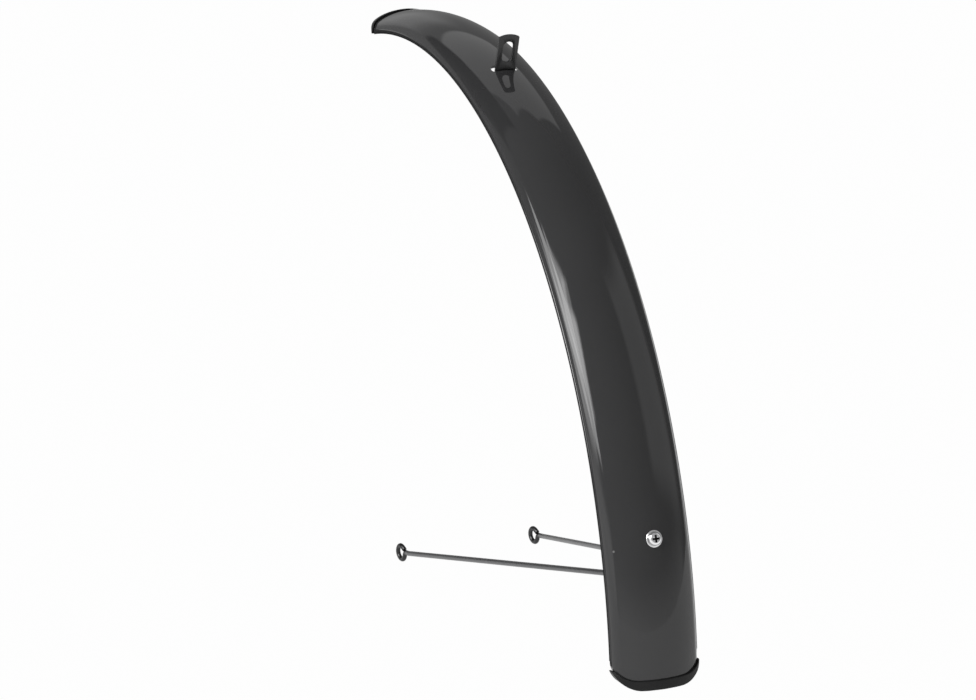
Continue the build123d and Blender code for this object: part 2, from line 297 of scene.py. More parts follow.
blade_start = TIP_ANGLE - SPARE
blade = start_point("blade", on_arc(blade_start, RIM_RADIUS, HALF_WIDTH))
spin_bead(blade_start, LEFT)
spin_arch(blade_start, BEAD_TURN, 1)
spin_bead(blade_start, RIGHT)
spin_rim(blade_start, RIGHT)
spin_arch(blade_start, 0, -1)
spin_rim(blade_start, LEFT)
join_points()
spin(TAIL_ANGLE - TIP_ANGLE + 2 * SPARE, WHEEL, -ACROSS, BLADE_STEPS)
close_shell()
report(blade)

# %% [markdown]
# Both ends are trimmed to rounded corners. A slab is set across the end, the shape that stays is taken out of the
# slab, and what is left of the slab is the waste to cut off. A bevel on the blade itself would have to round a thin
# curved wall, which is far less sure.

# %% Trim the ends
TIP_CORNER = 11 * MM
TAIL_CORNER = 14 * MM
PAST = 12 * MM
HAIR = 0.01 * MM
BLOCK_HEIGHT = 52 * MM
ENDS = {"front": (TIP_ANGLE, 1, TIP_CORNER), "rear": (TAIL_ANGLE, -1, TAIL_CORNER)}


def end_block(angle, out, inside, beyond, half_width, corner):
    """A block over one end of the blade, from inside it to beyond it, with rounded corners beyond."""
    middle = on_arc(angle, BLADE_RADIUS) + forward(angle) * out * (beyond - inside) / 2
    block = add_block(middle, angle, (inside + beyond, 2 * half_width, BLOCK_HEIGHT))
    if corner:
        round_upright_edges(block, corner, out)
    return block


for angle, out, corner in ENDS.values():
    waste = end_block(angle, out, corner, 2 * PAST, HALF_WIDTH + PAST, 0)
    cut(waste, end_block(angle, out, corner + PAST, 0, HALF_WIDTH + HAIR, corner))
    cut(blade, waste)
report(blade)

# %% [markdown]
# The blade is punched twice: a cross slot lets the bracket's strap through, a little wider than the strap so that
# light shows at both its ends, and a round hole takes the stay's screw. Both are plain cuts.

# %% Punch the bracket's slot and the screw's hole
SLOT_SIZE = (7.2 * MM, 16.6 * MM, PAST)
SLOT_CORNER = 2.2 * MM
SLOT_AHEAD = 1.4 * MM
SCREW_HOLE = 4.5 * MM
HOLE_SIDES = 48
BLADE_SMOOTH = 25

slot_place = on_arc(BRACKET_ANGLE, BLADE_RADIUS) + forward(BRACKET_ANGLE) * SLOT_AHEAD
strap_slot = add_block(slot_place, BRACKET_ANGLE, SLOT_SIZE)
round_upright_edges(strap_slot, SLOT_CORNER)
cut(blade, strap_slot)

bpy.ops.object.select_all(action="DESELECT")
bpy.ops.mesh.primitive_cylinder_add(
    vertices=HOLE_SIDES, radius=SCREW_HOLE / 2, depth=PAST,
    location=on_arc(SCREW_ANGLE, BLADE_RADIUS), rotation=(0, -radians(SCREW_ANGLE), 0))
cut(blade, bpy.context.object)
only(blade)
bpy.ops.object.shade_smooth_by_angle(angle=radians(BLADE_SMOOTH))
report(blade)

# %% [markdown]
# ## The edging on both ends
# The ends are wrapped in a soft black channel. It could be swept along the end, but a sweep twists at the corners.
# So it is made from the same arch, grown on both faces, and kept only where it covers the rounded end.

# %% The edging's measures
EDGING_GROWTH = 1.3 * MM
EDGING_LENGTH = 8.6 * MM
EDGING_REACH = degrees(EDGING_LENGTH / RIM_RADIUS)
EDGING_BEAD = 1.7 * MM
EDGING_COVER = 3.8 * MM
EDGING_BACK_SPREAD = 4 * MM
EDGING_BACK_HALF = HALF_WIDTH + EDGING_BACK_SPREAD
EDGING_BACK_CORNER = 16 * MM
EDGING_STEPS = 24
GROOVE_REACH = 3 * EDGING_REACH
GRIP = 0.1 * MM
print("edging reach in degrees", round(EDGING_REACH, 2))

# %% Edging grown from the blade's own outline
def grown_arch(name, start, end, grow):
    """The arch's wall grown on both faces, with square feet at the rims."""
    outer_foot = SHOULDER_CENTRE + (SHOULDER_RADIUS + grow)
    inner_foot = SHOULDER_CENTRE + (SHOULDER_RADIUS - WALL - grow)
    shell = start_point(name, on_arc(start, RIM_RADIUS, outer_foot))
    spin_arch(start, 0, 1)
    push(ACROSS * (outer_foot - inner_foot))
    spin_arch(start, 0, -1)
    push(ACROSS * (outer_foot - inner_foot))
    join_points()
    spin(end - start, WHEEL, -ACROSS, EDGING_STEPS)
    close_shell()
    return shell


def make_edging(name, angle, out, corner):
    """The grown arch, kept where it covers one rounded end, with a groove that grips the blade."""
    inside = corner + PAST
    edging = grown_arch(name, angle - EDGING_REACH, angle + EDGING_REACH, EDGING_GROWTH)
    cover = end_block(angle, out, inside, EDGING_BEAD, HALF_WIDTH + EDGING_BEAD, corner + EDGING_BEAD)
    cut(edging, cover, "INTERSECT")
    cut(edging, end_block(angle, out, inside, -EDGING_COVER, EDGING_BACK_HALF, EDGING_BACK_CORNER))
    groove = grown_arch("groove", angle - GROOVE_REACH, angle + GROOVE_REACH, GRIP)
    cut(groove, end_block(angle, out, inside, GRIP, HALF_WIDTH + GRIP, corner), "INTERSECT")
    cut(edging, groove)
    return edging


edgings = {name: make_edging(f"{name}_edging", *end) for name, end in ENDS.items()}
for edging in edgings.values():
    report(edging)

# %% [markdown]
# Rubber has no sharp edge anywhere. A bevel would need clean edges, which the cuts don't leave, so the shell is
# remeshed into fine even squares and smoothed, which rounds every edge at once.

# %% Round the edging as rubber
EDGING_VOXEL = 0.22 * MM
RUBBER_SMOOTHING = 0.5
RUBBER_ROUNDS = 5

for edging in edgings.values():
    only(edging)
    bpy.ops.object.modifier_add(type="REMESH")
    edging.modifiers[-1].mode = "VOXEL"
    edging.modifiers[-1].voxel_size = EDGING_VOXEL
    bpy.ops.object.modifier_add(type="SMOOTH")
    edging.modifiers[-1].factor = RUBBER_SMOOTHING
    edging.modifiers[-1].iterations = RUBBER_ROUNDS
    for change in list(edging.modifiers):
        bpy.ops.object.modifier_apply(modifier=change.name)
    bpy.ops.object.shade_smooth()
    report(edging)

# %% [markdown]
# ## The fork bracket
# The bracket is one steel strap. Its tongue stands on the blade with a slot for the fork's bolt, and its foot is bent
# under the crown. The tongue's outline is drawn with pushes and one spin, filled and given its thickness. The open
# lower end is then spun round the bend and along the blade, as a press brake would bend it.

# %% The strap's measures
STRAP_WIDTH = 12.9 * MM
STRAP_THICKNESS = 1.6 * MM
STRAP_BEND = 2 * MM
TONGUE_HEIGHT = 22.4 * MM
TONGUE_TOP_RADIUS = 14 * MM
SEAT_GAP = 0.05 * MM
INNER_RADIUS = BLADE_RADIUS - WALL


def inner_drop(from_middle):
    """How far the inside of the arch falls away from its crown."""
    inner_crown = CROWN_RADIUS - WALL
    return inner_crown - sqrt(inner_crown**2 - from_middle**2)


half_strap = STRAP_WIDTH / 2
foot_radius = INNER_RADIUS - inner_drop(half_strap) - SEAT_GAP - STRAP_THICKNESS / 2
bend_turn = asin(STRAP_BEND / (foot_radius + STRAP_BEND))
bend_start = (foot_radius + STRAP_BEND) * cos(bend_turn)
top_half_turn = degrees(asin(half_strap / TONGUE_TOP_RADIUS))
tongue_shoulder = TONGUE_HEIGHT - TONGUE_TOP_RADIUS * (1 - cos(radians(top_half_turn)))
tongue_rise = BLADE_RADIUS + tongue_shoulder - bend_start
print("foot radius mm", round(foot_radius / MM, 2), "tongue rise mm", round(tongue_rise / MM, 2))

# %% Draw the tongue
TOP_STEPS = 20

upright = outward(BRACKET_ANGLE)
front_face = forward(BRACKET_ANGLE) * STRAP_THICKNESS / 2
top_centre = on_arc(BRACKET_ANGLE, BLADE_RADIUS + TONGUE_HEIGHT - TONGUE_TOP_RADIUS) + front_face

bracket = start_point("bracket", on_arc(BRACKET_ANGLE, bend_start, half_strap) + front_face)
push(upright * tongue_rise)
spin(2 * top_half_turn, top_centre, forward(BRACKET_ANGLE), TOP_STEPS)
push(-upright * tongue_rise)
push(ACROSS * STRAP_WIDTH)
join_points()
bpy.ops.mesh.edge_face_add()
push(-2 * front_face)
face_outwards()
report(bracket)

# %% Bend the foot under the crown
FOOT_LENGTH = 20 * MM
BEND_STEPS = 10
FOOT_STEPS = 6


def not_past(place, way):
    """A test for edges with neither end past a place, seen along a way."""
    return lambda a, b: max((a - place).dot(way), (b - place).dot(way)) < HAIR


select_face(bracket, -upright)
bpy.ops.mesh.delete(type="ONLY_FACE")
bpy.ops.object.mode_set(mode="OBJECT")
base = on_arc(BRACKET_ANGLE, bend_start)
select_edges(bracket, not_past(base, upright))
spin(90 - degrees(bend_turn), base - forward(BRACKET_ANGLE) * STRAP_BEND, ACROSS, BEND_STEPS)
spin(degrees(FOOT_LENGTH / foot_radius), WHEEL, -ACROSS, FOOT_STEPS)
close_shell()
report(bracket)

# %% Round the toe and cut the bolt's slot
FOOT_CORNER = 3 * MM
FOOT_CORNER_STEPS = 8
BOLT_SLOT = (6.4 * MM, 13.4 * MM)
ALMOST_HALF = 0.499

toe_angle = BRACKET_ANGLE + degrees(bend_turn) + degrees(FOOT_LENGTH / foot_radius)
at_toe = not_past(on_arc(toe_angle, foot_radius), forward(toe_angle))
select_edges(bracket, lambda a, b: abs(a.y - b.y) < HAIR and at_toe(a, b))
bevel_selected(FOOT_CORNER, FOOT_CORNER_STEPS)

bolt_slot = add_block((0, 0, 0), BRACKET_ANGLE, (PAST, *BOLT_SLOT))
select_edges(bolt_slot, lambda a, b: a.x * b.x < 0)
bevel_selected(ALMOST_HALF * BOLT_SLOT[0], ROUND_STEPS)
cut(bracket, bolt_slot)
report(bracket)

# %% [markdown]
# A stamped strap is tumbled, so its edges are broken and catch a little light. A Bevel modifier with an angle limit
# finds every sharp edge by itself, and the same helper serves the wire's ends and the screw later.

# %% Break the strap's sharp edges
EDGE_BREAK = 0.22 * MM
BREAK_STEPS = 2
SHARP = 40


def break_edges(piece, width, angle):
    """Bevel every edge sharper than an angle, and shade the rest smooth."""
    only(piece)
    bpy.ops.object.modifier_add(type="BEVEL")
    change = piece.modifiers[-1]
    change.limit_method = "ANGLE"
    change.angle_limit = radians(angle)
    change.width = width
    change.segments = BREAK_STEPS
    bpy.ops.object.modifier_apply(modifier=change.name)
    bpy.ops.object.shade_smooth_by_angle(angle=radians(angle))


break_edges(bracket, EDGE_BREAK, SHARP)
report(bracket)

# %% [markdown]
# ## The wheel stay
# The stay is one steel wire bent to a long U, with its ends curled into flat eyes for the bolts at the fork. A curve
# with a round bevel would do for the wire, but not for the flattened eyes. So a circle is carried along the route,
# the way a wire passes through a bending machine: spun for each bend, pushed for each straight. Only the left half
# is bent, and a Mirror modifier makes the right half.

# %% Where the stay runs
WIRE_RADIUS = 1.6 * MM
EYES_FROM_AXLE = Vector((-45, 0, 10.2)) * MM
EYE_HALF_SPACING = 46.1 * MM
BRIDGE_HALF = 21.5 * MM
WIRE_BELOW_SCREW = 16.6 * MM
CLIP_THICKNESS = 1.2 * MM
CLIP_HALF = 5 * MM
CLIP_CLEARANCE = 0.1 * MM

inner_fall = INNER_RADIUS - sqrt(INNER_RADIUS**2 - WIRE_BELOW_SCREW**2)
clip_seat = inner_drop(CLIP_HALF) + inner_fall + SEAT_GAP
wire_depth = clip_seat + CLIP_THICKNESS + WIRE_RADIUS + CLIP_CLEARANCE
bridge = on_arc(SCREW_ANGLE, INNER_RADIUS - wire_depth) - forward(SCREW_ANGLE) * WIRE_BELOW_SCREW
eyes_middle = WHEEL + EYES_FROM_AXLE
stay_length = (eyes_middle - bridge).length
to_bridge = (bridge - eyes_middle).normalized()
eye = eyes_middle + ACROSS * EYE_HALF_SPACING
eye_side = ACROSS.cross(to_bridge)
print("stay length mm", round(stay_length / MM, 1), "eye", [round(v, 4) for v in eye])

# %% A circle at the wire's end
WIRE_SIDES = 24
WIRE_END_ANGLE = 52
WIRE_END_RUN = 2.9 * MM
LOOP_RADIUS = 4.4 * MM
EYE_THICKNESS = 2.8 * MM
EYE_FLATTENING = EYE_THICKNESS / (2 * WIRE_RADIUS)

end_turn = radians(WIRE_END_ANGLE)
end_way = to_bridge * cos(end_turn) + eye_side * sin(end_turn)
curl_way = ACROSS.cross(end_way)
circle_turn = curl_way.to_track_quat("Z", "Y").to_euler()
circle_place = eye + end_way * LOOP_RADIUS - curl_way * WIRE_END_RUN

bpy.ops.object.select_all(action="DESELECT")
bpy.ops.mesh.primitive_circle_add(vertices=WIRE_SIDES, radius=WIRE_RADIUS, fill_type="NOTHING",
                                  location=circle_place, rotation=circle_turn)
stay = bpy.context.object
stay.name = stay.data.name = "stay"
bpy.ops.object.transform_apply(location=True, rotation=True, scale=True)
report(stay)

# %% Curl the eye
NECK_BEND = 3 * MM
NECK_REACH = sqrt(LOOP_RADIUS**2 + 2 * LOOP_RADIUS * NECK_BEND)
NECK_TURN = degrees(atan2(NECK_BEND, NECK_REACH))
LOOP_STEPS = 56
NECK_STEPS = 12

bpy.ops.object.mode_set(mode="EDIT")
bpy.ops.mesh.select_all(action="SELECT")
bpy.ops.transform.resize(value=(1, EYE_FLATTENING, 1), center_override=eye)
push(curl_way * WIRE_END_RUN)
spin(360 - WIRE_END_ANGLE - NECK_TURN, eye, ACROSS, LOOP_STEPS)
neck_centre = eye + to_bridge * NECK_REACH - eye_side * NECK_BEND
spin(NECK_TURN - 90, neck_centre, ACROSS, NECK_STEPS)
bpy.ops.transform.resize(value=(1, 1 / EYE_FLATTENING, 1), center_override=eye)
print("eye curled, neck turn", round(NECK_TURN, 1))

# %% Run the wire to the middle of the bridge
LEAD = 8 * MM
LEAD_BEND = 12 * MM
LEAD_STEPS = 4
LEG_BEND = 16 * MM
LEG_STEPS = 24

lead_end = stay_length - NECK_REACH - LEAD
leg_turn = degrees(atan2(EYE_HALF_SPACING - BRIDGE_HALF, lead_end))
lead_cut = LEAD_BEND * tan(radians(leg_turn) / 2)
bridge_cut = LEG_BEND * tan(radians(90 - leg_turn) / 2)
leg_way = to_bridge * cos(radians(leg_turn)) - ACROSS * sin(radians(leg_turn))
leg_whole = (to_bridge * lead_end - ACROSS * (EYE_HALF_SPACING - BRIDGE_HALF)).length
leg_inside = -ACROSS * cos(radians(leg_turn)) - to_bridge * sin(radians(leg_turn))
lead_start = eye + to_bridge * (NECK_REACH + LEAD - lead_cut)
leg_end = bridge + ACROSS * BRIDGE_HALF - leg_way * bridge_cut
stay_normal = to_bridge.cross(ACROSS)

push(to_bridge * (LEAD - lead_cut))
spin(-leg_turn, lead_start - ACROSS * LEAD_BEND, stay_normal, LEAD_STEPS)
push(leg_way * (leg_whole - lead_cut - bridge_cut))
spin(leg_turn - 90, leg_end + leg_inside * LEG_BEND, stay_normal, LEG_STEPS)
push(-ACROSS * (BRIDGE_HALF - bridge_cut))
bpy.ops.object.mode_set(mode="OBJECT")
report(stay)

# %% Close the wire's end and mirror it
def within(place, reach):
    """A test for edges with both ends within reach of a place."""
    return lambda a, b: max((a - place).length, (b - place).length) < reach


on_rim = within(circle_place, WIRE_RADIUS + HAIR)
at_end = not_past(circle_place, curl_way)
select_edges(stay, lambda a, b: on_rim(a, b) and at_end(a, b))
bpy.ops.mesh.edge_face_add()
face_outwards()
bpy.ops.object.modifier_add(type="MIRROR")
mirror = stay.modifiers[-1]
mirror.use_axis = (False, True, False)
mirror.merge_threshold = HAIR
bpy.ops.object.modifier_apply(modifier=mirror.name)
report(stay)

# %% [markdown]
# Hand-bent eyes are seldom square to the wheel, and in the picture both are turned a little about an upright line.
# The turn comes after the mirror, because both eyes turn the same way. With no window the rotate operator turns the
# other way, so its angle is negative here.

# %% Turn the eyes and break the wire's ends
EYE_TWIST = 10
EYE_REACH = 9 * MM
WIRE_END_BREAK = 0.3 * MM
WIRE_SHARP = 60

for middle in (eye, eye - 2 * ACROSS * EYE_HALF_SPACING):
    select_edges(stay, within(middle, EYE_REACH))
    bpy.ops.transform.rotate(value=-radians(EYE_TWIST), orient_axis="Z", center_override=middle)
    bpy.ops.object.mode_set(mode="OBJECT")
break_edges(stay, WIRE_END_BREAK, WIRE_SHARP)
report(stay)

# %% [markdown]
# ## The screw
# The screw is a turned part, so half of its outline is drawn and spun once round its axis: a pan head, a collar under
# it and a plain shank. Stacked cylinders would leave hidden faces between them. Its cross recess is two tapered blocks
# that are cut into the head.

# %% Turn the screw
SHANK_RADIUS = 2 * MM
SHANK_LENGTH = 10 * MM
COLLAR_RADIUS = 4.75 * MM
COLLAR_HEIGHT = 0.9 * MM
COLLAR_BREAK = 0.3 * MM
HEAD_RADIUS = 3.65 * MM
HEAD_HEIGHT = 2.1 * MM
HEAD_ROUND = 1.5 * MM
HEAD_STEPS = 10
LATHE_STEPS = 64

screw_up = outward(SCREW_ANGLE)
screw_side = forward(SCREW_ANGLE)
seat = on_arc(SCREW_ANGLE, BLADE_RADIUS)
head_top = seat + screw_up * (COLLAR_HEIGHT + HEAD_HEIGHT)
head_flat = screw_side * (HEAD_RADIUS - HEAD_ROUND)
head_round_centre = seat + screw_up * (COLLAR_HEIGHT + HEAD_HEIGHT - HEAD_ROUND) + head_flat

screw = start_point("screw", head_top)
push(head_flat)
spin(90, head_round_centre, ACROSS, HEAD_STEPS)
push(-screw_up * (HEAD_HEIGHT - HEAD_ROUND))
push(screw_side * (COLLAR_RADIUS - COLLAR_BREAK - HEAD_RADIUS))
push(screw_side * COLLAR_BREAK - screw_up * COLLAR_BREAK)
push(-screw_up * (COLLAR_HEIGHT - COLLAR_BREAK))
push(-screw_side * (COLLAR_RADIUS - SHANK_RADIUS))
push(-screw_up * SHANK_LENGTH)
push(-screw_side * SHANK_RADIUS)
bpy.ops.mesh.select_all(action="SELECT")
spin(360, seat, screw_up, LATHE_STEPS)
close_shell()
report(screw)

# %% Cut the cross recess
RECESS_SPAN = 5.2 * MM
RECESS_WIDTH = 1.5 * MM
RECESS_DEPTH = 1.6 * MM
RECESS_TAPER = 0.62
SCREW_EDGE_BREAK = 0.1 * MM

for wing_size in ((RECESS_WIDTH, RECESS_SPAN), (RECESS_SPAN, RECESS_WIDTH)):
    wing = add_block(head_top, SCREW_ANGLE, (*wing_size, 2 * RECESS_DEPTH))
    select_face(wing, Vector((0, 0, -1)))
    bpy.ops.transform.resize(value=(RECESS_TAPER, RECESS_TAPER, RECESS_TAPER))
    bpy.ops.object.mode_set(mode="OBJECT")
    cut(screw, wing)
break_edges(screw, SCREW_EDGE_BREAK, SHARP)
report(screw)

# %% [markdown]
# ## Finishes
# Plastic, rubber, paint and metal differ in how they reflect and in their small marks. Marks that several finishes
# share are built once as node groups, such as fine specks and a slow cloudiness. Each group only puts out a mask,
# and the shader of each finish uses it in its own way. A few helpers keep the wiring short.

# %% Node helpers
def add_node(tree, kind, **values):
    node = tree.nodes.new(kind)
    for name, value in values.items():
        setattr(node, name, value)
    return node


def feed(tree, socket, source):
    """Link an output to a socket, or set a plain value on it."""
    if isinstance(source, bpy.types.NodeSocket):
        tree.links.new(source, socket)
    else:
        socket.default_value = source


def math_node(tree, operation, *sources, kind="ShaderNodeMath"):
    """The outputs of a Math or Vector Math node that is fed by outputs or plain values."""
    node = add_node(tree, kind, operation=operation)
    for socket, source in zip(node.inputs, sources):
        feed(tree, socket, source)
    return node.outputs


print("nodes are added and fed")

# %% Numbers, vectors and places from nodes
def number(tree, operation, *sources):
    return math_node(tree, operation, *sources)["Value"]


def vector(tree, operation, *sources):
    return math_node(tree, operation, *sources, kind="ShaderNodeVectorMath")


def map_range(tree, source, low, high, to_low=0.0, to_high=1.0, **values):
    """A value stretched from one span to another and held at both ends."""
    node = add_node(tree, "ShaderNodeMapRange", clamp=True, **values)
    labels = ("Value", "From Min", "From Max", "To Min", "To Max")
    for label, given in zip(labels, (source, low, high, to_low, to_high)):
        feed(tree, node.inputs[label], given)
    return node.outputs["Result"]


def object_place(tree):
    """Each point's place in the piece's own frame."""
    return tree.nodes.new("ShaderNodeTexCoord").outputs["Object"]


print("node helpers ready")

# %% A new group
def new_group(name, inputs):
    """An empty node group with number inputs and one mask as its output."""
    group = bpy.data.node_groups.new(name, "ShaderNodeTree")
    for label, default in inputs.items():
        socket = group.interface.new_socket(label, in_out="INPUT", socket_type="NodeSocketFloat")
        socket.default_value = default
    group.interface.new_socket("Mask", in_out="OUTPUT", socket_type="NodeSocketFloat")
    group_in, group_out = group.nodes.new("NodeGroupInput"), group.nodes.new("NodeGroupOutput")
    return group, group_in.outputs, group_out.inputs["Mask"]


print("group helper ready")

# %% [markdown]
# Dust on the plastic and chips in the paint are specks. A Voronoi texture gives one dot per cell, and each cell's own
# random colour decides whether its dot is there, so the amount can be set apart from the scale.

# %% Fine specks
SPECK_SPAN = (0.16, 0.05)

specks, given, mask = new_group("fine_specks", {"Scale": 300.0, "Amount": 0.1})
cells = add_node(specks, "ShaderNodeTexVoronoi", feature="F1")
picked = specks.nodes.new("ShaderNodeSeparateColor")
feed(specks, cells.inputs["Vector"], object_place(specks))
feed(specks, cells.inputs["Scale"], given["Scale"])
feed(specks, picked.inputs["Color"], cells.outputs["Color"])
chosen = number(specks, "LESS_THAN", picked.outputs["Red"], given["Amount"])
dots = map_range(specks, cells.outputs["Distance"], *SPECK_SPAN)
feed(specks, mask, number(specks, "MULTIPLY", dots, chosen))
print("group", specks.name)

# %% [markdown]
# Moulded plastic, rubber and plating are never quite even. Plain noise, stretched so that it fills the range from 0
# to 1, gives that slow cloudiness, and at a fine scale it also makes grain. Drawn wire has hairlines along it, which
# are the same noise after its space is turned to the wire and squeezed across it.

# %% Slow clouds and hairlines
CLOUD_SPAN = (0.3, 0.7)
HAIRLINE_SPAN = (0.35, 0.65)
HAIRLINE_DETAIL = 2.0


def noise_mask(tree, place, scale, detail, span):
    noise = tree.nodes.new("ShaderNodeTexNoise")
    for label, source in {"Vector": place, "Scale": scale, "Detail": detail}.items():
        feed(tree, noise.inputs[label], source)
    return map_range(tree, noise.outputs["Fac"], *span)


clouds, given, mask = new_group("slow_clouds", {"Scale": 20.0, "Detail": 4.0})
feed(clouds, mask, noise_mask(clouds, object_place(clouds), given["Scale"], given["Detail"], CLOUD_SPAN))

hairs, given, mask = new_group("hairlines", {"Along": 12.0, "Over": 900.0, "Slope": 0.0})
turned = add_node(hairs, "ShaderNodeVectorRotate", rotation_type="Y_AXIS")
feed(hairs, turned.inputs["Vector"], object_place(hairs))
feed(hairs, turned.inputs["Angle"], given["Slope"])
lengths = hairs.nodes.new("ShaderNodeCombineXYZ")
for axis, label in {"X": "Along", "Y": "Over", "Z": "Over"}.items():
    feed(hairs, lengths.inputs[axis], given[label])
stretched = vector(hairs, "MULTIPLY", turned.outputs["Vector"], lengths.outputs["Vector"])["Vector"]
feed(hairs, mask, noise_mask(hairs, stretched, 1.0, HAIRLINE_DETAIL, HAIRLINE_SPAN))
print("groups", [group.name for group in bpy.data.node_groups])

# %% [markdown]
# A finish is a Principled shader whose colour, roughness and relief are led by those masks. What is the same all over,
# such as the index of refraction, is set on the shader itself. Most finishes here start alike, with a colour and a
# roughness that drift between two values, so one function makes that start.

# %% A finish from masks
def use_group(tree, group, **values):
    node = tree.nodes.new("ShaderNodeGroup")
    node.node_tree = group
    for label, value in values.items():
        node.inputs[label].default_value = value
    return node.outputs["Mask"]


def new_finish(name, **values):
    """A material with a bare Principled shader, whose plain values are set on its sockets."""
    finish = bpy.data.materials.new(name)
    finish.use_nodes = True
    shader = finish.node_tree.nodes["Principled BSDF"]
    for label, value in values.items():
        shader.inputs[label.replace("_", " ")].default_value = value
    return finish, finish.node_tree, shader


def cool_grey(grey, blue):
    return (grey, grey, blue, 1)


print("finish helpers ready")

# %% Colour, roughness and relief led by a mask
def lead_colour(tree, shader, mask, low, high):
    """A base colour that goes from low to high with a mask."""
    mix = add_node(tree, "ShaderNodeMix", data_type="RGBA")
    for label, source in {"Factor": mask, "A": low, "B": high}.items():
        feed(tree, mix.inputs[label], source)
    feed(tree, shader.inputs["Base Color"], mix.outputs["Result"])


def lay_colour(tree, shader, mask, colour):
    """A mark's colour, laid over the base colour that the shader has already."""
    lead_colour(tree, shader, mask, shader.inputs["Base Color"].links[0].from_socket, colour)


def lead_roughness(tree, shader, mask, low, high):
    feed(tree, shader.inputs["Roughness"], map_range(tree, mask, 0, 1, low, high))


def lead_relief(tree, shader, mask, strength, depth):
    """Relief from a mask, laid over any relief that the shader has already."""
    bump = tree.nodes.new("ShaderNodeBump")
    for link in list(shader.inputs["Normal"].links):
        feed(tree, bump.inputs["Normal"], link.from_socket)
    for label, source in {"Strength": strength, "Distance": depth, "Height": mask}.items():
        feed(tree, bump.inputs[label], source)
    feed(tree, shader.inputs["Normal"], bump.outputs["Normal"])


def clouded_finish(name, scale, detail, shades, roughness, **values):
    """A finish whose colour and roughness drift slowly between two values each."""
    finish, tree, shader = new_finish(name, **values)
    cloudy = use_group(tree, clouds, Scale=scale, Detail=detail)
    lead_colour(tree, shader, cloudy, *shades)
    lead_roughness(tree, shader, cloudy, *roughness)
    return finish, tree, shader, cloudy


print("masks lead colour, roughness and relief")

# %% [markdown]
# The blade is glossy, dark grey moulded plastic. Its gloss shows the room, so a slow ripple from the moulding bends
# the reflections a little, and some specks of dust lie on it. The outer edge of the rim is trimmed and stays dull, and
# its colour is darker than the blade's as painted shade of the edge. A mask could dull it in the same material, but
# the specular level has to be plain, so the rim is a finish of its own.

# %% Blade plastic and its dull rim with painted shade
PLASTIC_SHADES = (cool_grey(0.0215, 0.0222), cool_grey(0.0245, 0.0252))
DUST = cool_grey(0.16, 0.16)
RIM_SHADED_TONES = (cool_grey(0.015, 0.0154), cool_grey(0.022, 0.0225))

plastic, tree, shader, _ = clouded_finish(
    "blade_plastic", scale=16.0, detail=5.0, shades=PLASTIC_SHADES, roughness=(0.028, 0.045), IOR=1.5)
lay_colour(tree, shader, use_group(tree, specks, Scale=200.0, Amount=0.02), DUST)
ripple = use_group(tree, clouds, Scale=38.0, Detail=1.0)
grain = use_group(tree, clouds, Scale=900.0, Detail=2.0)
lead_relief(tree, shader, ripple, strength=1.0, depth=0.03 * MM)
lead_relief(tree, shader, grain, strength=0.04, depth=0.02 * MM)

# The rim is dull as a trimmed edge, and its darker colour is painted shade of the edge
dull_rim_painted_shade, tree, shader, _ = clouded_finish(
    "dull_rim_painted_shade", scale=120.0, detail=4.0, shades=RIM_SHADED_TONES, roughness=(0.5, 0.65), Specular_IOR_Level=0.0)
grain = use_group(tree, clouds, Scale=1500.0, Detail=2.0)
lead_relief(tree, shader, grain, strength=0.2, depth=0.03 * MM)
print(plastic.name, dull_rim_painted_shade.name)

# %% [markdown]
# The edging is soft black rubber with a fine grain and hardly any shine. The bracket is painted black, with the
# slight peel of a sprayed coat and a few chips that show the grey below. Both start from clouds, and finer noise
# gives the relief, which a flat colour would lack close up.

# %% Edging rubber and bracket paint
RUBBER_SHADES = (cool_grey(0.007, 0.0072), cool_grey(0.012, 0.0123))
PAINT_SHADES = (cool_grey(0.011, 0.0115), cool_grey(0.017, 0.0175))
CHIP = cool_grey(0.09, 0.09)

rubber, tree, shader, _ = clouded_finish(
    "edging_rubber", scale=60.0, detail=4.0, shades=RUBBER_SHADES, roughness=(0.34, 0.46),
    IOR=1.45, Specular_IOR_Level=0.25)
grain = use_group(tree, clouds, Scale=2200.0, Detail=2.0)
lead_relief(tree, shader, grain, strength=0.25, depth=0.04 * MM)

paint, tree, shader, _ = clouded_finish(
    "bracket_paint", scale=140.0, detail=4.0, shades=PAINT_SHADES, roughness=(0.24, 0.36), IOR=1.5)
lay_colour(tree, shader, use_group(tree, specks, Scale=700.0, Amount=0.03), CHIP)
peel = use_group(tree, clouds, Scale=900.0, Detail=1.0)
lead_relief(tree, shader, peel, strength=0.2, depth=0.03 * MM)
print(rubber.name, paint.name)

# %% [markdown]
# The stay is bare drawn steel. Its hairlines run along the wire, so their group is turned to the stay's slope. The
# eyes are given a darker colour. Both eyes lie at the same place once the sign of every coordinate is dropped, so one
# distance makes the mask for both.

# %% Stay wire
STAY_SLOPE = atan2(to_bridge.z, -to_bridge.x)
EYE_SHADE = (10 * MM, 6 * MM)
WIRE_SHADES = (cool_grey(0.095, 0.098), cool_grey(0.17, 0.174))
WIRE_CLOUD = cool_grey(0.12, 0.123)
DARKER_EYE_COLOUR = cool_grey(0.05, 0.051)


def near_eye(tree):
    """Mask of the two eyes."""
    folded = vector(tree, "ABSOLUTE", object_place(tree))["Vector"]
    far = vector(tree, "DISTANCE", folded, [abs(v) for v in eye])["Value"]
    return map_range(tree, far, *EYE_SHADE)


wire, tree, shader = new_finish("stay_steel", Metallic=1.0)
drawn = use_group(tree, hairs, Along=14.0, Over=2400.0, Slope=STAY_SLOPE)
lead_colour(tree, shader, drawn, *WIRE_SHADES)
lay_colour(tree, shader, use_group(tree, clouds, Scale=90.0, Detail=5.0), WIRE_CLOUD)
# the eyes get a darker colour
lay_colour(tree, shader, near_eye(tree), DARKER_EYE_COLOUR)
lead_roughness(tree, shader, drawn, low=0.24, high=0.38)
lead_relief(tree, shader, drawn, strength=0.12, depth=0.02 * MM)
print(wire.name, "slope", round(degrees(STAY_SLOPE), 1))
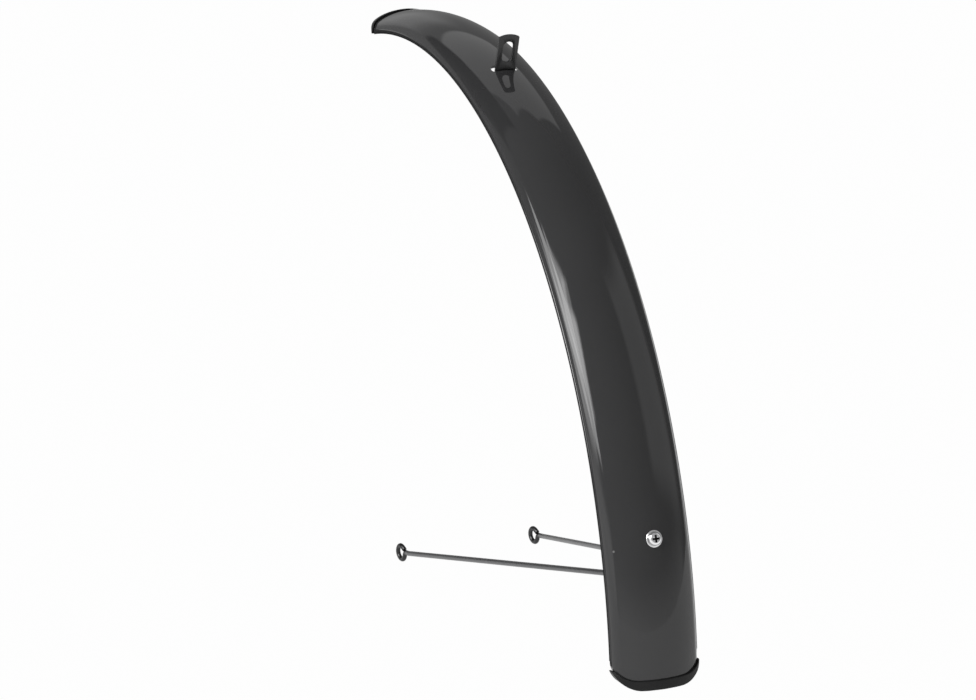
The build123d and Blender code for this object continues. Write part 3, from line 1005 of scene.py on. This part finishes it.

# %% [markdown]
# The screw is bright plated, and its recess and the corner above the collar are darkened as painted shade. Both
# places are known from the depth below the head's top and the distance from the screw's axis, so no texture has to be
# painted.

# %% Painted shade on the screw
# Where the painted shade lies: depth below the head's top and distance from the screw's axis
RECESS_SHADE_DEPTH = (0.10 * MM, 0.35 * MM)
RECESS_SHADE_RADIUS = (2.8 * MM, 2.7 * MM)
CORNER_SHADE_DEPTH = (1.4 * MM, 2.0 * MM)
CORNER_SHADE_RADIUS = (4.2 * MM, 3.75 * MM)
CORNER_SHADE_STRENGTH = 0.5


def painted_recess_shade(tree):
    """Mask of the painted shade in the recess and in the corner where the head meets the collar."""
    offset = vector(tree, "SUBTRACT", object_place(tree), head_top)["Vector"]
    depth = vector(tree, "DOT_PRODUCT", offset, -screw_up)["Value"]
    aside = vector(tree, "CROSS_PRODUCT", offset, screw_up)["Vector"]
    radius = vector(tree, "LENGTH", aside)["Value"]
    recess = number(tree, "MULTIPLY", map_range(tree, depth, *RECESS_SHADE_DEPTH),
                    map_range(tree, radius, *RECESS_SHADE_RADIUS))
    corner = number(tree, "MULTIPLY", map_range(tree, depth, *CORNER_SHADE_DEPTH, to_high=CORNER_SHADE_STRENGTH),
                    map_range(tree, radius, *CORNER_SHADE_RADIUS))
    return number(tree, "MAXIMUM", recess, corner)


print("painted_shade reaches", RECESS_SHADE_RADIUS[0] / MM, "mm from the screw's axis")

# %% Screw plating and zinc
PLATE_SHADES = (cool_grey(0.78, 0.79), cool_grey(0.93, 0.94))
RECESS_SHADE_COLOUR = cool_grey(0.015, 0.015)
ZINC_SHADES = (cool_grey(0.46, 0.47), cool_grey(0.62, 0.63))

chrome, tree, shader, cloudy = clouded_finish(
    "screw_chrome", scale=500.0, detail=4.0, shades=PLATE_SHADES, roughness=(0.06, 0.16), Metallic=1.0)
# painted shade: the recess and the corner above the collar are darkened
lay_colour(tree, shader, painted_recess_shade(tree), RECESS_SHADE_COLOUR)
lead_relief(tree, shader, cloudy, strength=0.06, depth=0.05 * MM)

zinc, tree, shader, cloudy = clouded_finish(
    "nut_steel", scale=260.0, detail=6.0, shades=ZINC_SHADES, roughness=(0.28, 0.45), Metallic=1.0)
lead_relief(tree, shader, cloudy, strength=0.08, depth=0.05 * MM)
print([finish.name for finish in bpy.data.materials])

# %% [markdown]
# ## Put the pieces on the frame
# Each new piece rides on the mudguard's one body and stands for its CAD node, and its row lists the finish of the
# imported record.
# The clip and the nut lie hidden under the blade, and their CAD shapes are right as they are, so they only get a
# finish. The faces along the blade's rims then get the dull finish with its painted shade, picked by their distance
# from the axle.

# %% Rides, replacements and finishes
DRESSED = [
    (blade, "mudguard_blade", "blade_plastic", plastic),
    (edgings["front"], "front_end_trim", "edging_rubber", rubber),
    (edgings["rear"], "rear_end_trim", "edging_rubber", rubber),
    (bracket, "fork_bracket", "bracket_paint", paint),
    (stay, "wheel_stay", "stay_steel", wire),
    (screw, "stay_screw", "screw_chrome", chrome),
]
for piece, node, slot, finish in DRESSED:
    piece.data.materials.clear()
    piece.data.materials.append(finish)
    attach(piece, "root")
    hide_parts(node)

for node, finish in {"stay_clip": wire, "stay_nut": zinc}.items():
    for material_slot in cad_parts[node].material_slots:
        material_slot.material = finish
print("dressed", [piece.name for piece, *_ in DRESSED])

# %% The blade's dull rim with painted shade
RIM_DULL_AND_SHADE = 1.8 * MM

blade.data.materials.append(dull_rim_painted_shade)
for face in blade.data.polygons:
    from_axle = face.center - WHEEL
    face.material_index = int(sqrt(from_axle.x**2 + from_axle.z**2) < RIM_RADIUS + RIM_DULL_AND_SHADE)
print("dull faces", sum(face.material_index for face in blade.data.polygons))

# %% [markdown]
# ## The studio
# The picture shows the mudguard on pure white. A wide pale floor lies well below it. Camera, glossy and transmission
# rays see the floor as white, and a part of it stays a plain surface that keeps a shadow. More light would whiten it
# too, but would also wash out the mudguard.

# %% Floor
FLOOR_HEIGHT = -0.66
FLOOR_RADIUS = 9
FLOOR_SIDES = 96
FLOOR_COLOUR = (0.8, 0.8, 0.8, 1)
FLOOR_WHITENESS = 0.95

bpy.ops.object.select_all(action="DESELECT")
bpy.ops.mesh.primitive_circle_add(vertices=FLOOR_SIDES, radius=FLOOR_RADIUS, fill_type="NGON",
                                  location=(0, 0, FLOOR_HEIGHT))
floor = bpy.context.object
floor.name = floor.data.name = "studio_floor"
bpy.ops.object.transform_apply(location=True, rotation=True, scale=True)
print("floor at", FLOOR_HEIGHT)

# %% The floor's white
pale = bpy.data.materials.new("pale_floor")
pale.use_nodes = True
tree = pale.node_tree
tree.nodes.clear()
rays = tree.nodes.new("ShaderNodeLightPath").outputs
seen = number(tree, "MAXIMUM", rays["Is Camera Ray"], rays["Is Glossy Ray"])
seen = number(tree, "MAXIMUM", seen, rays["Is Transmission Ray"])
matt = tree.nodes.new("ShaderNodeBsdfDiffuse")
matt.inputs["Color"].default_value = FLOOR_COLOUR
white = tree.nodes.new("ShaderNodeEmission")
blend = tree.nodes.new("ShaderNodeMixShader")
surface = tree.nodes.new("ShaderNodeOutputMaterial")
feed(tree, blend.inputs["Fac"], number(tree, "MULTIPLY", seen, FLOOR_WHITENESS))
tree.links.new(matt.outputs["BSDF"], blend.inputs[1])
tree.links.new(white.outputs["Emission"], blend.inputs[2])
tree.links.new(blend.outputs["Shader"], surface.inputs["Surface"])
floor.data.materials.append(pale)
print("floor finish", pale.name)

# %% [markdown]
# There is no lamp. The room is drawn in the world, which lights the scene alone, because the glossy blade shows the
# room more than its own colour. The room is grey, a little lighter to the left and behind, and soft-edged panels hang
# in it: a large soft box on the left that draws the long streak on the near shoulder, pale walls, and a dark flag. A
# panel is placed by the compass, as a photographer would: an azimuth from straight ahead towards the left, an
# elevation, half its width and height, a lean and a soft edge. One node group turns these into a mask.

# %% A soft panel as a group
PANEL_INPUTS = {"Turn": 0.0, "Elevation": 0.0, "Half Width": 0.3, "Half Height": 0.3, "Lean": 0.0, "Edge": 0.05}
panel, given, mask = new_group("soft_panel", PANEL_INPUTS)


def turn_about_z(tree, source, angle):
    """The coordinates of a vector that is turned about z."""
    node = add_node(tree, "ShaderNodeVectorRotate", rotation_type="Z_AXIS")
    parts = tree.nodes.new("ShaderNodeSeparateXYZ")
    feed(tree, node.inputs["Vector"], source)
    feed(tree, node.inputs["Angle"], angle)
    feed(tree, parts.inputs["Vector"], node.outputs["Vector"])
    return parts.outputs


def ray_way(tree):
    """The way in which a ray meets the world."""
    return tree.nodes.new("ShaderNodeTexCoord").outputs["Generated"]


ahead = turn_about_z(panel, ray_way(panel), given["Turn"])
flat = panel.nodes.new("ShaderNodeCombineXYZ")
feed(panel, flat.inputs["X"], number(panel, "ARCTAN2", ahead["Y"], ahead["X"]))
feed(panel, flat.inputs["Y"], number(panel, "SUBTRACT", number(panel, "ARCSINE", ahead["Z"]), given["Elevation"]))
leant = turn_about_z(panel, flat.outputs["Vector"], given["Lean"])
sides = []
for axis, half in (("X", "Half Width"), ("Y", "Half Height")):
    inside = number(panel, "SUBTRACT", given[half], number(panel, "ABSOLUTE", leant[axis]))
    edges = number(panel, "DIVIDE", inside, given["Edge"])
    sides.append(map_range(panel, edges, -1, 1, interpolation_type="SMOOTHSTEP"))
feed(panel, mask, number(panel, "MULTIPLY", *sides))
print("panel group", len(panel.nodes), "nodes")

# %% [markdown]
# The panels are listed as azimuth, elevation, half width, half height, lean, soft edge and radiance. The front wall
# is what two leaning panels have in common, because its foot leans another way than its sides. Their light is added
# to the room's grey, and a flag has a negative radiance that takes light away.

# %% The panels
ROOM_COLOUR = (1, 1, 1, 1)
ROOM_GREY = 0.345
ROOM_SLOPE = (-0.09, 0.12, 0.0)
DARKEST = 0.02
PANELS = {
    "soft_box": (100.2, 32.6, 29.3, 14.2, 8.9, 2.5, 4.6),
    "soft_box_heart": (102.3, 42.8, 14.0, 13.6, 4.2, 2.5, 4.0),
    "soft_box_foot": (86.7, 18.2, 22.0, 9.8, 18.7, 3.0, 2.6),
    "soft_box_corner": (121.2, 42.7, 5.7, 14.8, 27.9, 1.7, 2.3),
    "left_skirting": (100, 2, 28, 8, 0, 5, 0.65),
    "right_wall": (-110.5, 30, 23, 19, -26, 5.0, 0.42),
    "front_flag": (30.5, 42.5, 20, 22, -24, 1.5, -0.22),
    "front_glow": (-4, 15, 13, 9, 0, 5, 0.20),
    "back_skirting": (-165, -6, 60, 8, 0, 8, 0.50),
}
WALL_PANEL = (-19.5, 47.9, 27.8, 23.5, -24, 1.0)
WALL_FOOT = (-23.5, 45.6, 90, 17.9, 16, 1.0)
WALL_LIGHT = 0.36
print("panels", [*PANELS, "front_wall"])

# %% The room
room = bpy.data.worlds.new("grey_room")
bpy.context.scene.world = room
room.use_nodes = True
tree = room.node_tree
background = tree.nodes["Background"]


def hang(azimuth, elevation, half_width, half_height, lean, edge):
    """The mask of one panel."""
    sizes = (-azimuth, elevation, half_width, half_height, -lean, edge)
    return use_group(tree, panel, **{label: radians(size) for label, size in zip(PANEL_INPUTS, sizes)})


slope = vector(tree, "DOT_PRODUCT", ray_way(tree), ROOM_SLOPE)["Value"]
light = number(tree, "ADD", slope, ROOM_GREY)
for *place, radiance in PANELS.values():
    light = number(tree, "ADD", light, number(tree, "MULTIPLY", hang(*place), radiance))
wall = number(tree, "MULTIPLY", hang(*WALL_PANEL), hang(*WALL_FOOT))
light = number(tree, "ADD", light, number(tree, "MULTIPLY", wall, WALL_LIGHT))
feed(tree, background.inputs["Strength"], number(tree, "MAXIMUM", light, DARKEST))
background.inputs["Color"].default_value = ROOM_COLOUR
print("room", len(tree.nodes), "nodes")

# %% [markdown]
# ## The camera
# The camera stands behind and to the left of the mudguard and looks down a little. Its place, direction and lens come
# from the outlines of the blade in the picture, which fit one perspective only. The lens is known in pixels, so it is
# set from the picture's width.

# %% Camera
PICTURE_WIDTH = 976
FOCAL_PIXELS = 2606.0
SENSOR_WIDTH = 36
VIEW_PLACE = (-1.43335, 0.5615, 0.24578)
VIEW_AZIMUTH = -20.965
VIEW_PITCH = -15.608

view_turn = (radians(90 + VIEW_PITCH), 0, radians(VIEW_AZIMUTH - 90))
bpy.ops.object.camera_add(location=VIEW_PLACE, rotation=view_turn)
camera = bpy.context.object
camera.data.sensor_fit = "HORIZONTAL"
camera.data.sensor_width = SENSOR_WIDTH
camera.data.lens = FOCAL_PIXELS / PICTURE_WIDTH * SENSOR_WIDTH
bpy.context.scene.camera = camera
bpy.context.scene.view_settings.view_transform = "Standard"
print("lens", round(camera.data.lens, 2))
